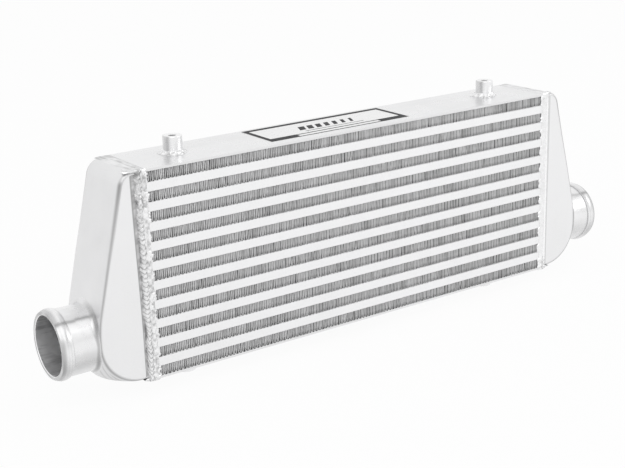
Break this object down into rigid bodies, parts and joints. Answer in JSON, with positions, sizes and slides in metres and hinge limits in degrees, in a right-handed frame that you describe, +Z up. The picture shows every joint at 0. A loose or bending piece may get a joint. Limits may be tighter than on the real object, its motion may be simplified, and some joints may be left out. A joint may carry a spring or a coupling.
{
  "type": "charge-air intercooler",
  "caption": "Bar-and-plate aluminium intercooler: a finned core between two cast end tanks with beaded hose pipes and threaded mounting bosses.",
  "frame": {"origin": "centre of the core, which is also the centre of the whole part's box", "axes": "+X from the left tank to the right tank, +Y from the front face to the back along the cooling air, +Z up, with the pipes at the low side of the tanks"},
  "size_m": [0.6, 0.0672, 0.21],
  "materials": {
    "cast_tank": "cast aluminium, sanded and polished, satin",
    "plate": "brazed aluminium sheet, satin",
    "tube_bar": "milled aluminium bar, fine matt grain",
    "header_bar": "brazed aluminium bar, matt",
    "air_fin": "thin rolled aluminium sheet, corrugated",
    "turbulator": "thin rolled aluminium sheet, corrugated",
    "weld": "bright rippled weld bead",
    "boss": "turned aluminium, bright",
    "label": "silver film sticker with a plain black frame"
  },
  "bodies": {
    "root": {"top_plate": "plate", "bottom_plate": "plate", "air_fin_01": "air_fin", "air_fin_02": "air_fin", "air_fin_03": "air_fin", "air_fin_04": "air_fin", "air_fin_05": "air_fin", "air_fin_06": "air_fin", "air_fin_07": "air_fin", "air_fin_08": "air_fin", "air_fin_09": "air_fin", "air_fin_10": "air_fin", "air_fin_11": "air_fin", "header_bars_01": "header_bar", "header_bars_02": "header_bar", "header_bars_03": "header_bar", "header_bars_04": "header_bar", "header_bars_05": "header_bar", "header_bars_06": "header_bar", "header_bars_07": "header_bar", "header_bars_08": "header_bar", "header_bars_09": "header_bar", "header_bars_10": "header_bar", "header_bars_11": "header_bar", "charge_tube_01": "tube_bar", "charge_tube_02": "tube_bar", "charge_tube_03": "tube_bar", "charge_tube_04": "tube_bar", "charge_tube_05": "tube_bar", "charge_tube_06": "tube_bar", "charge_tube_07": "tube_bar", "charge_tube_08": "tube_bar", "charge_tube_09": "tube_bar", "charge_tube_10": "tube_bar", "turbulator_01": "turbulator", "turbulator_02": "turbulator", "turbulator_03": "turbulator", "turbulator_04": "turbulator", "turbulator_05": "turbulator", "turbulator_06": "turbulator", "turbulator_07": "turbulator", "turbulator_08": "turbulator", "turbulator_09": "turbulator", "turbulator_10": "turbulator", "left_tank": "cast_tank", "left_tank_weld": "weld", "right_tank": "cast_tank", "right_tank_weld": "weld", "upper_left_boss": "boss", "upper_left_boss_weld": "weld", "upper_right_boss": "boss", "upper_right_boss_weld": "weld", "lower_left_boss": "boss", "lower_left_boss_weld": "weld", "lower_right_boss": "boss", "lower_right_boss_weld": "weld", "label": "label"}
  },
  "joints": []
}
